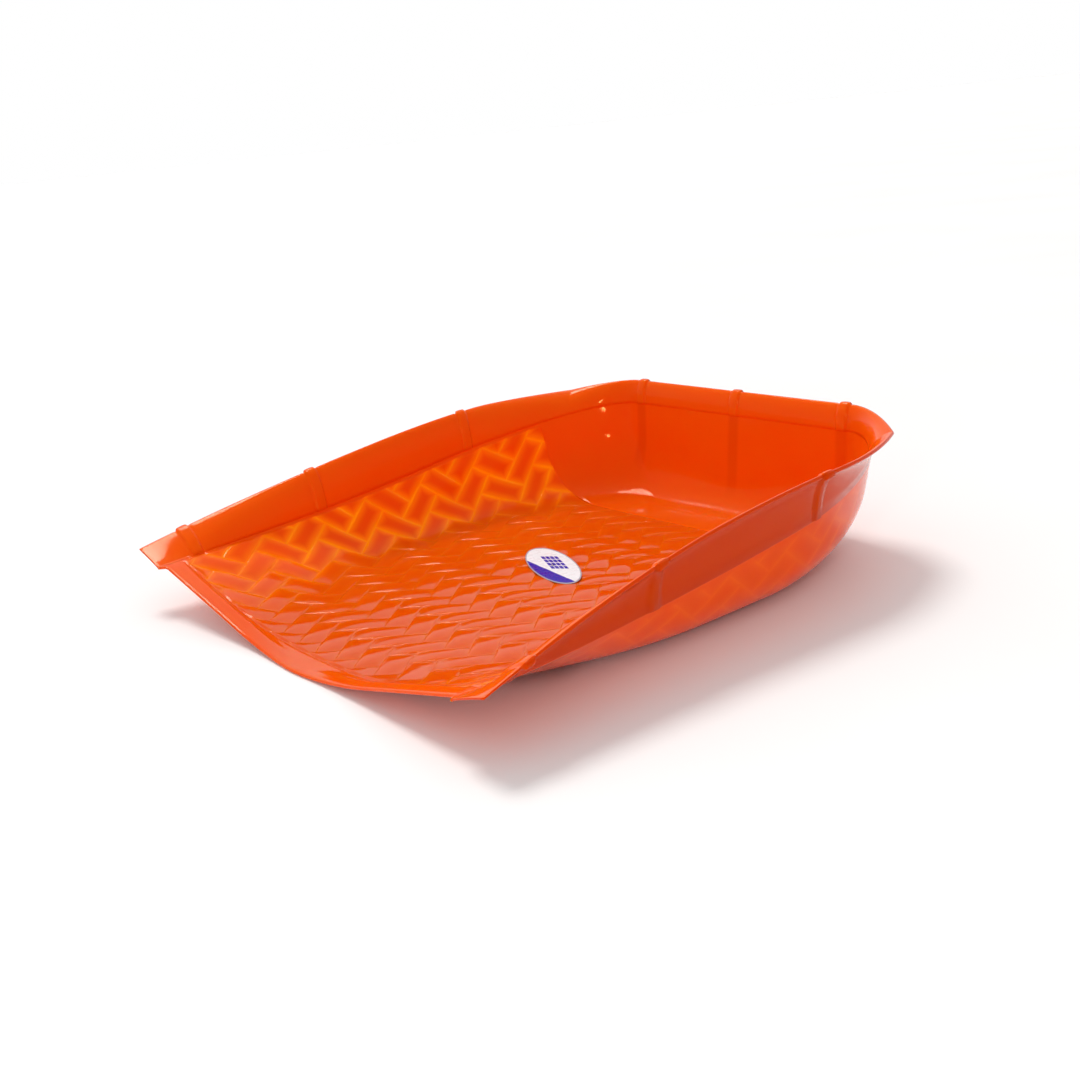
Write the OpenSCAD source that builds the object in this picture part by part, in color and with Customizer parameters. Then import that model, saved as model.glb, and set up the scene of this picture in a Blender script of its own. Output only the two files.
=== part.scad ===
// Winnowing scoop: one moulded pan, open at the front, with a rolled bamboo-look rim.
// Millimetres. X runs across, the mouth faces -Y, Z is up.
// The origin is the middle of the underside box, so the pan rests on z = 0.

/* [Overall] */
// Width over the two front tips of the rim
pan_w = 400; // [340:5:460]
// Depth from the front tips to the rear edge of the rim
pan_d = 394; // [350:2:460]
// Height of the rear rim above the ground
rear_h = 90; // [78:1:110]
// Height of the side rim where it reaches the rear corners
side_h = 83; // [70:1:96]
// Height of the rim at the two front tips
tip_h = 41; // [36:1:52]
// Thickness of the floor and the walls
wall_t = 1.8; // [1.4:0.1:3]

/* [Floor and walls] */
// Distance the flat floor stops short of each side wall top, seen from above
wall_foot = 42; // [38:1:66]
// How far each side wall stands in from the front tip at its top
wall_inset = 24; // [20:1:34]
// Height of the wall top at the mouth
crease_front_h = 32.5; // [28:0.5:35]
// Height of the wall top at the rear
crease_rear_h = 73; // [62:1:74]
// Slope of the flanks at the mouth, in degrees from level
mouth_slope = 13.2; // [12.5:0.1:16]
// Slope of the side walls at the back, in degrees from level
side_slope = 77; // [70:1:80]
// Slope of the rear wall, in degrees from level
rear_slope = 83; // [76:1:85]
// Distance the flat floor stops short of the rear wall top
rear_toe = 31; // [26:1:44]

/* [Rim] */
// Thickness of the rolled rim
rim_t = 2.6; // [2.2:0.1:3.6]
// Width of the rim seen from above along the sides
rim_side_w = 8; // [6:0.5:11]
// Width of the rim seen from above along the rear
rim_rear_w = 5; // [4:0.5:8]
// How much the rim bulges, from a flat strip at 0 toward a full quarter round at 1
rim_roll = 0.8; // [0.5:0.05:0.95]
// Distance the rim ends reach ahead of the lip
tab_reach = 5; // [3:0.5:8]
// Forward bow of the lip at the middle
lip_bow = 5; // [0:0.5:6]

/* [Knuckles and ribs] */
// Length of each knuckle along the rim
knuckle_len = 9; // [7:0.5:12]
// Height of each knuckle above the rim on both faces
knuckle_rise = 1.3; // [0.8:0.1:2]
// Distance of the first side knuckle from the front tips
knuckle_1 = 31; // [28:1:36]
// Distance of the second side knuckle from the front tips
knuckle_2 = 132; // [120:1:142]
// Distance of the third side knuckle from the rear edge of the rim
knuckle_3_in = 123; // [118:1:130]
// Gap between each outer rear knuckle and the rear corner
knuckle_gap = 1.5; // [0.5:0.5:6]
// Height of the ribs on the outside of the rear wall
rib_rise = 1; // [0.4:0.1:1.6]

/* [Label] */
// Length of the oval label
label_len = 88; // [60:1:96]
// Width of the oval label
label_w = 31; // [24:1:44]
// Thickness of the label
label_t = 0.3; // [0.2:0.1:0.6]
// Distance of the label's middle from the front tips
label_y = 215; // [150:1:260]
// Offset of the label's middle from the centre line
label_x = -13; // [-40:1:40]
// Turn of the label in degrees
label_turn = -23; // [-45:1:45]

/* [Hidden] */

pan_colour = [0.93, 0.32, 0.04];
label_colour = [0.94, 0.95, 0.97];

// Steps along the mesh
arc_steps = 7;
roll_steps = 6;

// Places along the depth, measured back from the front tips
corner_run = 139;
rim_turn_run = 82;
tip_back_in = 27;
rear_crease_y = pan_d - rim_rear_w;
rear_foot_y = rear_crease_y - rear_toe;
corner_y = rear_crease_y - corner_run;
tip_back_y = pan_d - tip_back_in;
rim_turn_y = tip_back_y - rim_turn_run;

// Half widths
tip_half = pan_w / 2;
crease_half = tip_half - wall_inset;
mouth_crease_in = 4;
mouth_crease_run = 60;
edge_half = crease_half + rim_side_w;
flare_run = 180;
flare_power = 1.5;
floor_half = crease_half - wall_foot;
corner_across = 70;
foot_across = 79;
corner_x = crease_half - corner_across;
foot_x = floor_half - foot_across;
corner_power = 1.1;
foot_power = 1.3;

// The rear tip of the rim stands out beyond the rounded wall corner
tip_back_across = 25;
tip_back_half = edge_half - tip_back_across;
side_turn_power = 1.7;
back_turn_power = 1.6;
tip_dip_power = 1.7;

// Rise of the rim and of the wall top toward the rear
rim_rise_run = 300;
rim_rise_power = 1.68;
crease_power = 1.75;

// The floor opens out from a narrow strip at the mouth
mouth_floor_half = 5;
floor_open_run = 190;
floor_open_from = 8;
floor_open_power = 2.2;
slope_run = 75;
slope_from = 12;

// The rim lies flat at the mouth and rolls up further back
flat_roll = 0.1;
lip_bow_half = 110;
lip_bow_power = 3;
roll_run = 70;
tab_thinning = 0.6;
knuckle_ramp = 1.2;
knuckle_3 = pan_d - knuckle_3_in;
knuckle_rear = corner_x - knuckle_gap - knuckle_len / 2;
ledge = 1;
least_tangent = 1;
round_share = 0.95;

function clamp01(t) = min(1, max(0, t));
function mix(a, b, t) = a + (b - a) * t;
function ease(t) = let (c = clamp01(t)) c * c * (3 - 2 * c);

// Height of the wall top
function crease_z(y) =
    mix(crease_front_h, crease_rear_h, pow(clamp01(y / rear_crease_y), crease_power));

// Height of the outer edge along the side
function edge_z(y) =
    mix(side_h, tip_h, pow(clamp01(1 - y / rim_rise_run), rim_rise_power));

// Half width of the wall top and of the outer edge along the side
function crease_w(y) =
    crease_half - mouth_crease_in * pow(clamp01(1 - y / mouth_crease_run), 2);
function edge_w(y) =
    mix(edge_half, tip_half, pow(clamp01(1 - y / flare_run), flare_power))
    - (edge_half - tip_back_half)
    * pow(clamp01((y - rim_turn_y) / (tip_back_y - rim_turn_y)), side_turn_power);

// Half width of the flat floor and slope of the wall
function floor_w(y) =
    mix(floor_half, mouth_floor_half,
        pow(clamp01(1 - (y - floor_open_from) / floor_open_run), floor_open_power));
function slope(y) =
    mix(side_slope, mouth_slope, exp(-max(0, y - slope_from) / slope_run));

// Share of a knuckle standing at a distance from its middle
function bump(d) =
    clamp01((knuckle_len / 2 - abs(d)) / knuckle_ramp);

// A station holds: floor point, wall top, outer edge, wall slope, knuckle, rib
function side_station(y) = [
    [floor_w(y), y],
    [crease_w(y), y, crease_z(y)],
    [edge_w(y), y, edge_z(y)],
    slope(y),
    bump(y - knuckle_1) + bump(y - knuckle_2) + bump(y - knuckle_3),
    0
];

corner_tip_turn = 50;
function corner_edge(turn) =
    turn < corner_tip_turn
    ? let (y = mix(corner_y, tip_back_y,
                   pow(sin(turn) / sin(corner_tip_turn), corner_power)))
      [edge_w(y), y, edge_z(y)]
    : let (x = mix(corner_x, tip_back_half,
                   pow(cos(turn) / cos(corner_tip_turn), corner_power)),
           s = (x - corner_x) / (tip_back_half - corner_x))
      [x, mix(pan_d, tip_back_y, pow(s, back_turn_power)),
       mix(rear_h, side_h, pow(s, tip_dip_power))];

function corner_station(turn) =
    let (c = pow(cos(turn), corner_power),
         s = pow(sin(turn), corner_power),
         by = mix(corner_y, rear_crease_y, s),
         edge = corner_edge(turn))
    [
        [mix(foot_x, floor_w(corner_y), pow(cos(turn), foot_power)),
         mix(corner_y, rear_foot_y, pow(sin(turn), foot_power))],
        [mix(corner_x, crease_half, c), by, crease_z(by)],
        edge,
        mix(slope(corner_y), rear_slope, turn / 90),
        turn < corner_tip_turn ? bump(edge[1] - knuckle_3) : 0,
        0
    ];

function rear_station(x) =
    let (k = bump(x) + bump(abs(x) - knuckle_rear))
    [
        [x * foot_x / corner_x, rear_foot_y],
        [x, rear_crease_y, crease_rear_h],
        [x, pan_d, rear_h],
        rear_slope,
        k,
        k
    ];

// Four stations draw one knuckle
function around(m) = [
    m - knuckle_len / 2,
    m - knuckle_len / 2 + knuckle_ramp,
    m + knuckle_len / 2 - knuckle_ramp,
    m + knuckle_len / 2
];
function between(a, b, n) = [for (i = [1:n - 1]) mix(a, b, i / n)];

// Stations between the lip and the first knuckle, as shares of that distance
lip_shares = [0.14, 0.42, 0.74];
side_places = concat(
    [0],
    [for (share = lip_shares) mix(tab_reach, knuckle_1 - knuckle_len / 2, share)],
    around(knuckle_1),
    between(knuckle_1 + knuckle_len / 2, knuckle_2 - knuckle_len / 2, 8),
    around(knuckle_2),
    between(knuckle_2 + knuckle_len / 2, corner_y, 7)
);
// Turns that put the third knuckle on its own four stations
function turn_at(y) =
    asin(sin(corner_tip_turn)
         * pow((y - corner_y) / (tip_back_y - corner_y), 1 / corner_power));
knuckle_3_turns = [for (y = around(knuckle_3)) turn_at(y)];
corner_turns = concat(
    [0],
    between(0, knuckle_3_turns[0], 2),
    knuckle_3_turns,
    between(knuckle_3_turns[3], corner_tip_turn, 6),
    [corner_tip_turn],
    between(corner_tip_turn, 90, 7)
);
rear_half_places = concat(
    [corner_x],
    [for (i = [3:-1:0]) around(knuckle_rear)[i]],
    between(knuckle_rear - knuckle_len / 2, knuckle_len / 2, 4),
    [knuckle_len / 2, knuckle_len / 2 - knuckle_ramp]
);
rear_places = concat(
    rear_half_places,
    [for (i = [len(rear_half_places) - 1:-1:0]) -rear_half_places[i]]
);

right_stations = concat(
    [for (y = side_places) side_station(y)],
    [for (t = corner_turns) corner_station(t)]
);
function mirror_station(s) = [
    [-s[0][0], s[0][1]],
    [-s[1][0], s[1][1], s[1][2]],
    [-s[2][0], s[2][1], s[2][2]],
    s[3], s[4], s[5]
];
rear_stations = [for (x = rear_places) rear_station(x)];
side_count = len(right_stations);
rear_count = len(rear_stations);
stations = concat(
    right_stations,
    rear_stations,
    [for (i = [side_count - 1:-1:0]) mirror_station(right_stations[i])]
);
station_count = len(stations);

function flat_dir(from, to) =
    let (d = [to[0] - from[0], to[1] - from[1]]) d / norm(d);
function lift(p, dir, out, up) =
    [p[0] + dir[0] * out, p[1] + dir[1] * out, (len(p) > 2 ? p[2] : 0) + up];

// One row of a section: inside point and outside point
function pair(p, dir, angle, inner, outer) = [
    [p[0] - dir[0] * sin(angle) * inner,
     p[1] - dir[1] * sin(angle) * inner,
     p[2] + cos(angle) * inner],
    [p[0] + dir[0] * sin(angle) * outer,
     p[1] + dir[1] * sin(angle) * outer,
     p[2] - cos(angle) * outer]
];

// Steepest slope at which the round from the floor still ends below the wall top
function steepest(reach, rise) = 2 * atan(round_share * rise / reach);

// The section from the floor edge, up the wall and over the rim.
// Points lie on the inside face of the wall.
function section(s) =
    let (foot = s[0], top = s[1], edge = s[2],
         knuckle = s[4], rib = s[5] * rib_rise,
         dir = flat_dir(foot, top),
         reach = norm([top[0] - foot[0], top[1] - foot[1]]),
         rise = top[2] - wall_t,
         a = min(s[3], steepest(reach, rise)),
         tangent = max(least_tangent, reach - rise / tan(a)),
         radius = tangent / tan(a / 2),
         out = flat_dir(top, edge),
         over = norm([edge[0] - top[0], edge[1] - top[1]]),
         up = edge[2] - top[2],
         roll = mix(flat_roll, rim_roll, ease(edge[1] / roll_run)),
         grow = mix(-tab_thinning, rim_t - wall_t, ease(edge[1] / roll_run)) / 2,
         lump = knuckle * knuckle_rise)
    concat(
        [for (i = [0:arc_steps])
            let (t = a * i / arc_steps)
            pair(lift(foot, dir, radius * sin(t), wall_t + radius * (1 - cos(t))),
                 dir, t, 0, wall_t + rib * ease(2 * i / arc_steps))],
        [pair(lift(top, dir, -ledge / tan(a), -ledge), dir, a, 0, wall_t + rib)],
        [for (i = [0:roll_steps])
            let (t = 90 * i / roll_steps,
                 h = mix(i / roll_steps, 1 - cos(t), roll),
                 v = mix(i / roll_steps, sin(t), roll),
                 dh = mix(1, sin(t) * PI / 2, roll) * over,
                 dv = mix(1, cos(t) * PI / 2, roll) * up,
                 lean = atan2(dv, dh))
            pair(lift(top, out, over * h + (i == roll_steps ? lump : 0), up * v),
                 out, lean, grow + lump, wall_t + grow + lump)]
    );

sections = [for (s = stations) section(s)];
row = len(sections[0]);

// The lip stands back from the rim ends, and bows forward a little in the middle.
// Only the first and last sections are moved.
wall_rows = arc_steps + 2;
function lip_shift(x) =
    tab_reach - lip_bow * pow(clamp01(1 - abs(x) / lip_bow_half), lip_bow_power);
function place(k, j, p) =
    (k == 0 || k == station_count - 1)
    ? [p[0], j < wall_rows ? lip_shift(p[0]) : 0, p[2]]
    : p;

// Floor points between the two sides
cols = rear_count - 1;
function floor_point(i, c, z) =
    let (a = stations[i][0], t = c / cols,
         x = mix(a[0], -a[0], t))
    [x, i == 0 ? lip_shift(x) : a[1], z];

inner_ring = [for (k = [0:station_count - 1], j = [0:row - 1])
    place(k, j, sections[k][j][0])];
outer_ring = [for (k = [0:station_count - 1], j = [0:row - 1])
    place(k, j, sections[k][j][1])];

// The middle of the whole depth, rim and knuckles included
depths = [for (p = concat(inner_ring, outer_ring)) p[1]];
middle_y = (min(depths) + max(depths)) / 2;

inner_floor = [for (i = [0:side_count - 1], c = [1:cols - 1]) floor_point(i, c, wall_t)];
outer_floor = [for (i = [0:side_count - 1], c = [1:cols - 1]) floor_point(i, c, 0)];

ring_size = station_count * row;
floor_size = side_count * (cols - 1);
half_size = ring_size + floor_size;

function ring_at(k, j) = k * row + j;
function floor_at(i, c) =
    i == side_count ? ring_at(side_count + c, 0)
    : c == 0 ? ring_at(i, 0)
    : c == cols ? ring_at(station_count - 1 - i, 0)
    : ring_size + i * (cols - 1) + c - 1;

// Two triangles over four corners given in clockwise order seen from outside
function quad(a, b, c, d) = [[a, b, c], [a, c, d]];
function shifted(list, n) = [for (f = list) [for (v = f) v + n]];
function flipped(list) = [for (f = list) [f[2], f[1], f[0]]];

ring_faces = [for (k = [0:station_count - 2], j = [0:row - 2], f = quad(
    ring_at(k, j), ring_at(k, j + 1), ring_at(k + 1, j + 1), ring_at(k + 1, j))) f];
floor_faces = [for (i = [0:side_count - 1], c = [0:cols - 1], f = quad(
    floor_at(i, c), floor_at(i + 1, c), floor_at(i + 1, c + 1), floor_at(i, c + 1))) f];

// The free border of the shell: right lip, round the rim, left lip, across the mouth
border = concat(
    [for (j = [0:row - 1]) ring_at(0, j)],
    [for (k = [1:station_count - 1]) ring_at(k, row - 1)],
    [for (j = [row - 2:-1:0]) ring_at(station_count - 1, j)],
    [for (c = [cols - 1:-1:1]) floor_at(0, c)]
);
border_count = len(border);
border_faces = [for (i = [0:border_count - 1], f = quad(
    border[i],
    border[i] + half_size,
    border[(i + 1) % border_count] + half_size,
    border[(i + 1) % border_count])) f];

module pan() {
    color(pan_colour)
    translate([0, -middle_y, 0])
    polyhedron(
        points = concat(inner_ring, inner_floor, outer_ring, outer_floor),
        faces = concat(
            flipped(concat(ring_faces, floor_faces)),
            shifted(concat(ring_faces, floor_faces), half_size),
            flipped(border_faces)
        ),
        convexity = 8
    );
}

module label() {
    color(label_colour)
    translate([label_x, label_y - middle_y, wall_t])
    rotate(label_turn)
    scale([label_len / label_w, 1, 1])
    cylinder(d = label_w, h = label_t, $fn = 96);
}

pan();
label();
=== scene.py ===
"""A winnowing scoop of glossy orange plastic with a moulded basket weave, and its oval sticker.

The pan is one thin shell. Its sections stand at stations that run up one side, round both rear
corners and down the other side, as in the CAD model, and are sampled here finely enough to carry
the weave as real relief. Lengths in this file are millimetres, with y measured back from the two
front tips, until the meshes are made in metres in the CAD frame.
"""

import bpy
import numpy as np
from mathutils import Matrix, Vector


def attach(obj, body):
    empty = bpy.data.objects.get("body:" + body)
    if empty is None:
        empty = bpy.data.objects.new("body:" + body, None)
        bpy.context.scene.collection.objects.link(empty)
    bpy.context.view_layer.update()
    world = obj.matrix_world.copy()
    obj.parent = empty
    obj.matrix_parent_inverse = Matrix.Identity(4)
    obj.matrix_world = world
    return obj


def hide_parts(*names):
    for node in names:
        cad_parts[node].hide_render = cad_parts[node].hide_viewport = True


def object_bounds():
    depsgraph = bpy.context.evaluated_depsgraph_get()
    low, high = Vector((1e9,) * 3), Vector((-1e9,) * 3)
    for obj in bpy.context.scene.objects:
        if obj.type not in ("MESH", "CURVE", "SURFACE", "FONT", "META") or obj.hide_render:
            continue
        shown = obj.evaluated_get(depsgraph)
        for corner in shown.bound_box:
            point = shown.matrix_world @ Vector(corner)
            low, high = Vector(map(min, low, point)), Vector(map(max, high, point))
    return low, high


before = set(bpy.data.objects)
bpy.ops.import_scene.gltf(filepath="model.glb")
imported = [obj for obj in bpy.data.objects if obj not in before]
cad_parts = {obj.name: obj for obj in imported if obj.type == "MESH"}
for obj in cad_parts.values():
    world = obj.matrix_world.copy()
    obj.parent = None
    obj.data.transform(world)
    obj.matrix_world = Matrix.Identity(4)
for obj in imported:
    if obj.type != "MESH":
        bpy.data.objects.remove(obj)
cad_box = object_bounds()

MM = 0.001

# Overall sizes, as in the CAD model
PAN_W = 400.0
PAN_D = 394.0
REAR_H = 90.0
SIDE_H = 83.0
TIP_H = 41.0
WALL_T = 1.8
MIDDLE_Y = (cad_box[1].y - cad_box[0].y) / MM / 2

# Floor and walls
WALL_FOOT = 42.0
WALL_INSET = 24.0
CREASE_FRONT_H = 32.5
CREASE_REAR_H = 73.0
CREASE_POWER = 1.75
CREASE_PINCH = 4.0
CREASE_PINCH_RUN = 60.0
FLOOR_FRONT_HALF = 5.0
FLOOR_FRONT_Y = 8.0
FLOOR_TAPER_RUN = 190.0
FLOOR_TAPER_POWER = 2.2
MOUTH_SLOPE = np.radians(13.2)
MOUTH_SLOPE_Y = 12.0
MOUTH_SLOPE_RUN = 75.0
SIDE_SLOPE = np.radians(77.0)
REAR_SLOPE = np.radians(83.0)
REAR_TOE = 31.0
LEAST_TANGENT = 1.0
ROUND_SHARE = 0.95
BEND_RUN = 3.0

# Rim
RIM_T = 2.6
RIM_SIDE_W = 8.0
RIM_REAR_W = 5.0
RIM_ROLL = 0.8
FLAT_ROLL = 0.1
ROLL_RUN = 70.0
RIM_CLIMB_RUN = 300.0
RIM_CLIMB_POWER = 1.68
FLARE_RUN = 180.0
FLARE_POWER = 1.5
TURN_IN_POWER = 1.7
TAB_REACH = 5.0
TAB_THINNING = 0.6
LIP_BOW = 5.0
LIP_BOW_HALF = 110.0
LIP_BOW_POWER = 3.0
LIP_ROUNDING = 16.0

# Knuckles and ribs
KNUCKLE_LEN = 9.0
KNUCKLE_RISE = 1.3
KNUCKLE_RAMP = 1.2
KNUCKLE_CROWN = 0.18
GROOVE_DEPTH = 0.22
GROOVE_OUT = 0.7
GROOVE_W = 0.6
KNUCKLE_1 = 31.0
KNUCKLE_2 = 132.0
KNUCKLE_3 = PAN_D - 123.0
RIB_RISE = 1.0
RIB_HALF_W = 5.5
RIB_FADE = 2.5

# Places along the depth and across the width
REAR_CREASE_Y = PAN_D - RIM_REAR_W
REAR_FOOT_Y = REAR_CREASE_Y - REAR_TOE
CORNER_Y = REAR_CREASE_Y - 139.0
TIP_BACK_Y = PAN_D - 27.0
RIM_TURN_Y = TIP_BACK_Y - 82.0
TIP_HALF = PAN_W / 2
CREASE_HALF = TIP_HALF - WALL_INSET
EDGE_HALF = CREASE_HALF + RIM_SIDE_W
FLOOR_HALF = CREASE_HALF - WALL_FOOT
CORNER_X = CREASE_HALF - 70.0
FOOT_X = FLOOR_HALF - 79.0
TIP_BACK_HALF = EDGE_HALF - 25.0
KNUCKLE_REAR = CORNER_X - 1.5 - KNUCKLE_LEN / 2
CORNER_TIP_TURN = np.radians(50.0)
CORNER_POWER = 1.1
CORNER_FOOT_POWER = 1.3
CORNER_BACK_POWER = 1.6
CORNER_CLIMB_POWER = 1.7

# The weave
WEAVE_FRONT_Y = 20.0
WEAVE_BACK_Y = 332.0
WEAVE_RISE = 1.05
WEAVE_SINK = 0.4
ROW_START = 43.0
ROW_PITCH = 49.8
ROW_BEND = 19.0
ROW_BEND_HALF = 150.0
BRICK_START = 5.0
BRICK_PITCH_LEFT = 22.5
BRICK_PITCH_RIGHT = 20.5
ACROSS_PHASE = 0.25
ALONG_PHASE = 1.25
BRICK_BOW = 0.85
BRICK_CROWN = 0.35
OUTSIDE_STRENGTH = 0.14
WEAVE_TOP_GAP = 2.0
BORDER_RUN = 1.6
FRONT_LINE_REACH = 4.0
FRONT_LINE_X = 120.0
FRONT_LINE_RUN = 50.0
FAR_FROM_TOP = 60.0

# The plain parts of the inner skin, before and behind the weave
STRIP_RISE = 0.35
LINE_DEPTH = 0.35
LINE_BACK = 0.3
LINE_W = 0.7
REAR_RISE = 0.45
REAR_RUN = 1.5
REAR_FADE = 60.0

# Mesh density
STEP = 1.35
CORNER_STEP = 0.62
WALL_POINTS = 92
RIM_POINTS = 16
COARSE = 3
EDGE_POINTS = 3
EDGE_BULGE = 0.85
SLICE_LEVELS = 60
SLICE_PAST_WEAVE = 25.0
SPREAD_SAMPLES = 4000
SPREAD_GAIN = 1.4
KNUCKLE_REACH = 7.0
TURN_REACH = 3.0
SOFTEN_REACH = 0.75
SOFTEN_RINGS = ((0.0, 1), (0.55, 6), (1.0, 8))

# Mask runs, and where the lip's setback fades out
RIM_MASK_RUN = 2.5
WALL_MASK_LEAN = np.radians(38)
SHEAR_RUN = 30.0


def clamp01(t):
    return np.clip(t, 0.0, 1.0)


def mix(a, b, t):
    return a + (b - a) * t


def ease(t):
    c = clamp01(t)
    return c * c * (3 - 2 * c)


def crease_z(y):
    return mix(CREASE_FRONT_H, CREASE_REAR_H, clamp01(y / REAR_CREASE_Y) ** CREASE_POWER)


def edge_z(y):
    return mix(SIDE_H, TIP_H, clamp01(1 - y / RIM_CLIMB_RUN) ** RIM_CLIMB_POWER)


def crease_w(y):
    return CREASE_HALF - CREASE_PINCH * clamp01(1 - y / CREASE_PINCH_RUN) ** 2


def edge_w(y):
    flare = mix(EDGE_HALF, TIP_HALF, clamp01(1 - y / FLARE_RUN) ** FLARE_POWER)
    turn = clamp01((y - RIM_TURN_Y) / (TIP_BACK_Y - RIM_TURN_Y)) ** TURN_IN_POWER
    return flare - (EDGE_HALF - TIP_BACK_HALF) * turn


def floor_w(y):
    taper = clamp01(1 - (y - FLOOR_FRONT_Y) / FLOOR_TAPER_RUN) ** FLOOR_TAPER_POWER
    return mix(FLOOR_HALF, FLOOR_FRONT_HALF, taper)


def slope_at(y):
    return mix(SIDE_SLOPE, MOUTH_SLOPE, np.exp(-np.maximum(0, y - MOUTH_SLOPE_Y) / MOUTH_SLOPE_RUN))


def bump(d):
    """A knuckle's height at distance d from its middle: a crowned collar, grooved at each end."""
    d = np.abs(d)
    collar = ease((KNUCKLE_LEN / 2 - d) / KNUCKLE_RAMP)
    crown = 1 - KNUCKLE_CROWN + KNUCKLE_CROWN * np.cos(np.pi * np.minimum(d / KNUCKLE_LEN, 0.5))
    groove = GROOVE_DEPTH * np.exp(-(((d - KNUCKLE_LEN / 2 - GROOVE_OUT) / GROOVE_W) ** 2))
    return collar * crown - groove


def lip_shift(x):
    """How far the lip stands back. Its middle is rounded here, where the CAD lip comes to a point."""
    away = np.sqrt(x * x + LIP_ROUNDING ** 2)
    return TAB_REACH - LIP_BOW * clamp01(1 - away / LIP_BOW_HALF) ** LIP_BOW_POWER


def stack(*columns):
    return np.stack(np.broadcast_arrays(*columns), axis=-1).astype(float)


class Stations:
    """Parallel arrays: floor point, wall top, rim edge, wall slope, knuckle and rib of each station."""

    def __init__(self, foot, top, edge, slope, knuckle, rib):
        self.foot, self.top, self.edge = foot, top, edge
        self.slope, self.knuckle, self.rib = slope, knuckle, rib

    def mirrored(self):
        flip2, flip3 = np.array([-1, 1]), np.array([-1, 1, 1])
        return Stations(
            (self.foot * flip2)[::-1], (self.top * flip3)[::-1], (self.edge * flip3)[::-1],
            self.slope[::-1], self.knuckle[::-1], self.rib[::-1],
        )

    def joined(self, other):
        return Stations(*[
            np.concatenate([getattr(self, key), getattr(other, key)])
            for key in ("foot", "top", "edge", "slope", "knuckle", "rib")
        ])


def side_stations(y):
    return Stations(
        stack(floor_w(y), y),
        stack(crease_w(y), y, crease_z(y)),
        stack(edge_w(y), y, edge_z(y)),
        slope_at(y),
        bump(y - KNUCKLE_1) + bump(y - KNUCKLE_2) + bump(y - KNUCKLE_3),
        np.zeros_like(y),
    )


def corner_edge(turn):
    """Rim edge round a rear corner: along the side to the rear tip, then back to the rear wall."""
    side = clamp01(np.sin(turn) / np.sin(CORNER_TIP_TURN)) ** CORNER_POWER
    y = mix(CORNER_Y, TIP_BACK_Y, side)
    back = clamp01(np.cos(turn) / np.cos(CORNER_TIP_TURN)) ** CORNER_POWER
    x = mix(CORNER_X, TIP_BACK_HALF, back)
    before = turn < CORNER_TIP_TURN
    return stack(
        np.where(before, edge_w(y), x),
        np.where(before, y, mix(PAN_D, TIP_BACK_Y, back ** CORNER_BACK_POWER)),
        np.where(before, edge_z(y), mix(REAR_H, SIDE_H, back ** CORNER_CLIMB_POWER)),
    )


def corner_stations(turn):
    """Stations round a rear corner, from the side at turn 0 to the rear wall at a right angle."""
    cosine, sine = clamp01(np.cos(turn)), clamp01(np.sin(turn))
    across, along = cosine ** CORNER_POWER, sine ** CORNER_POWER
    y = mix(CORNER_Y, REAR_CREASE_Y, along)
    edge = corner_edge(turn)
    foot_x = mix(FOOT_X, floor_w(np.array(CORNER_Y)), cosine ** CORNER_FOOT_POWER)
    foot_y = mix(CORNER_Y, REAR_FOOT_Y, sine ** CORNER_FOOT_POWER)
    return Stations(
        stack(foot_x, foot_y),
        stack(mix(CORNER_X, CREASE_HALF, across), y, crease_z(y)),
        edge,
        mix(slope_at(np.array(CORNER_Y)), REAR_SLOPE, turn / (np.pi / 2)),
        np.where(turn < CORNER_TIP_TURN, bump(edge[:, 1] - KNUCKLE_3), 0.0),
        np.zeros_like(turn),
    )


def rear_stations(x):
    knuckle = bump(x) + bump(np.abs(x) - KNUCKLE_REAR)
    ribs = [np.exp(-(((x - m) / RIB_HALF_W) ** 4)) for m in (-KNUCKLE_REAR, 0, KNUCKLE_REAR)]
    return Stations(
        stack(x * FOOT_X / CORNER_X, np.full_like(x, REAR_FOOT_Y)),
        stack(x, np.full_like(x, REAR_CREASE_Y), np.full_like(x, CREASE_REAR_H)),
        stack(x, np.full_like(x, PAN_D), np.full_like(x, REAR_H)),
        np.full_like(x, REAR_SLOPE),
        knuckle,
        sum(ribs),
    )


def spread(start, stop, step, marks, reach):
    """Places from start to stop about step apart, and closer near each mark."""
    t = np.linspace(start, stop, SPREAD_SAMPLES)
    density = 1 + sum(SPREAD_GAIN * np.exp(-(((t - mark) / reach) ** 4)) for mark in marks)
    total = np.concatenate([[0], np.cumsum((density[1:] + density[:-1]) / 2 * np.diff(t))])
    count = int(round(total[-1] / step))
    return np.interp(np.linspace(0, total[-1], count + 1), total, t)


def turn_at(y):
    """The corner turn at which the rim edge reaches depth y."""
    share = ((y - CORNER_Y) / (TIP_BACK_Y - CORNER_Y)) ** (1 / CORNER_POWER)
    return np.arcsin(np.sin(CORNER_TIP_TURN) * share)


def weave_place(u, v):
    """Weave coordinates. The rows of bricks bend back a little beside the walls."""
    pitch = np.where(u < BRICK_START, BRICK_PITCH_LEFT, BRICK_PITCH_RIGHT)
    straight_v = v - ROW_BEND * np.minimum(np.abs(u) / ROW_BEND_HALF, 1) ** 2
    along_rows = 2 * (straight_v - ROW_START) / ROW_PITCH + ALONG_PHASE
    return (u - BRICK_START) / pitch + ACROSS_PHASE, along_rows


def weave_cell(u, v):
    """Distance along the brick and across it, in strips, of a 2/2 twill."""
    across_rows, along_rows = weave_place(u, v)
    p, q = across_rows + along_rows, across_rows - along_rows
    m = np.mod(np.floor(p) - np.floor(q), 4)
    along_p = m < 1.5
    fp, fq = p - np.floor(p), q - np.floor(q)
    along = np.where(along_p, fp + m, fq + 3 - m)
    across = np.where(along_p, fq, fp)
    return along, across


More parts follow.
